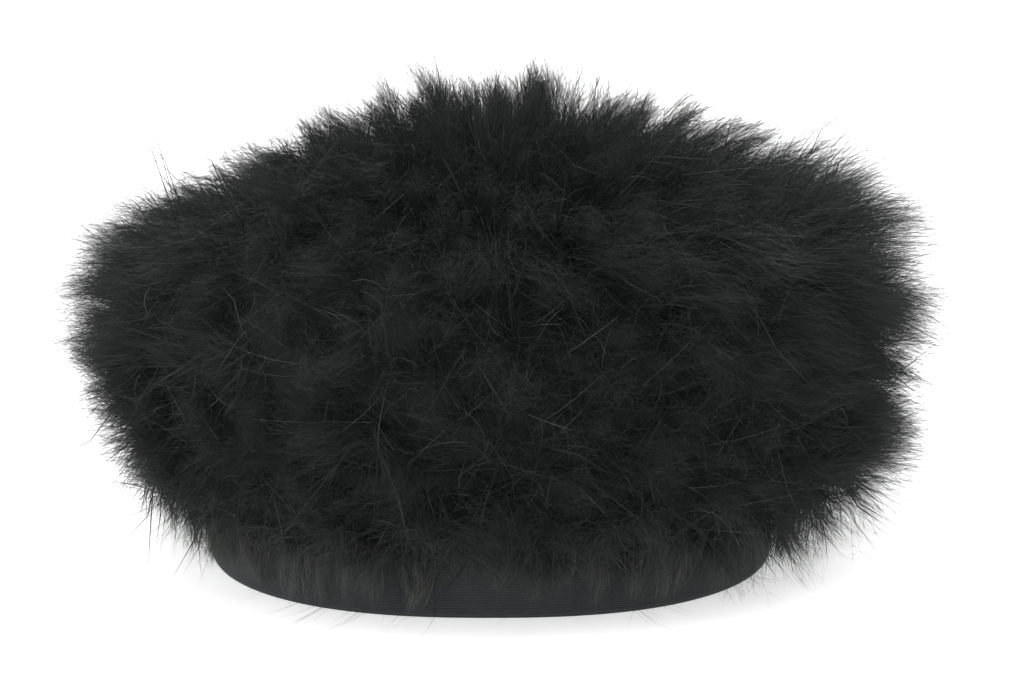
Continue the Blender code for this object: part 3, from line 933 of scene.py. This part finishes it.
def stage():
    """Pale floor that curves up into a backdrop."""
    bm = bmesh.new()
    front = [bm.verts.new((side * FLOOR_HALF_WIDTH, FLOOR_FRONT, 0)) for side in (-1, 1)]
    edge = bm.edges.new(front)
    bends = np.linspace(0, math.pi / 2, SWEEP_POINTS)
    profile = [(SWEEP_START + SWEEP_RADIUS * math.sin(bend), SWEEP_RADIUS * (1 - math.cos(bend)))
               for bend in bends]
    for y, z in profile + [(SWEEP_START + SWEEP_RADIUS, BACKDROP_TOP)]:
        grown = bmesh.ops.extrude_edge_only(bm, edges=[edge])["geom"]
        corners = [item for item in grown if isinstance(item, bmesh.types.BMVert)]
        edge = next(item for item in grown if isinstance(item, bmesh.types.BMEdge))
        for corner in corners:
            corner.co.y, corner.co.z = y, z
    mesh = bpy.data.meshes.new("studio_sweep")
    bm.to_mesh(mesh)
    bm.free()
    finish, _, shader = shader_material("studio_white", roughness=0.9, specular=0.1)
    shader.inputs["Base Color"].default_value = (*FLOOR_COLOUR, 1)
    shader.inputs["Emission Color"].default_value = (*WHITE, 1)
    shader.inputs["Emission Strength"].default_value = FLOOR_GLOW
    mesh.materials.append(finish)
    mesh.shade_smooth()
    mesh_object("studio_sweep", mesh)


def aim(thing, place, target):
    """Lamp or camera put at a place and pointed at a target."""
    thing.location = place
    thing.rotation_euler = (Vector(target) - Vector(place)).to_track_quat("-Z", "Y").to_euler()
    bpy.context.scene.collection.objects.link(thing)


def area_light(lamp):
    """Soft rectangular light aimed at a point."""
    light = bpy.data.lights.new(lamp.name, "AREA")
    light.shape = "RECTANGLE"
    light.size, light.size_y = lamp.size
    light.energy = lamp.power
    aim(bpy.data.objects.new(lamp.name, light), lamp.place, lamp.target)


def lighting():
    """White room, brighter at the back, with soft lamps above and at the front's left."""
    world = bpy.data.worlds.new("white_room")
    bpy.context.scene.world = world
    world.use_nodes = True
    tree = world.node_tree
    background = tree.nodes["Background"].inputs
    background["Color"].default_value = (*WHITE, 1)
    way = split_axes(tree, tree.nodes.new("ShaderNodeTexCoord").outputs["Generated"])
    tree.links.new(value_range(tree, way["Y"], -1, *ROOM_LIGHT), background["Strength"])
    for lamp in LAMPS:
        area_light(lamp)


def camera():
    """Camera at the photo's angle: ten degrees above the rim, a little over a metre away."""
    lens = bpy.data.cameras.new("camera")
    lens.sensor_width = SENSOR_WIDTH
    lens.lens = FOCAL_LENGTH
    eye = bpy.data.objects.new("camera", lens)
    aim(eye, CAMERA_PLACE, CAMERA_TARGET)
    bpy.context.scene.camera = eye
    bpy.context.scene.view_settings.view_transform = "Standard"


def build():
    """Dress every piece of the hat."""
    camera()
    lighting()
    stage()
    woven = woven_group()
    crown_piece(woven)
    band_piece(woven)
    packed, downy = packed_finish(), marabou_finish()
    for row, share in enumerate(row_areas()):
        marabou_piece(row, share, packed, downy)


build()
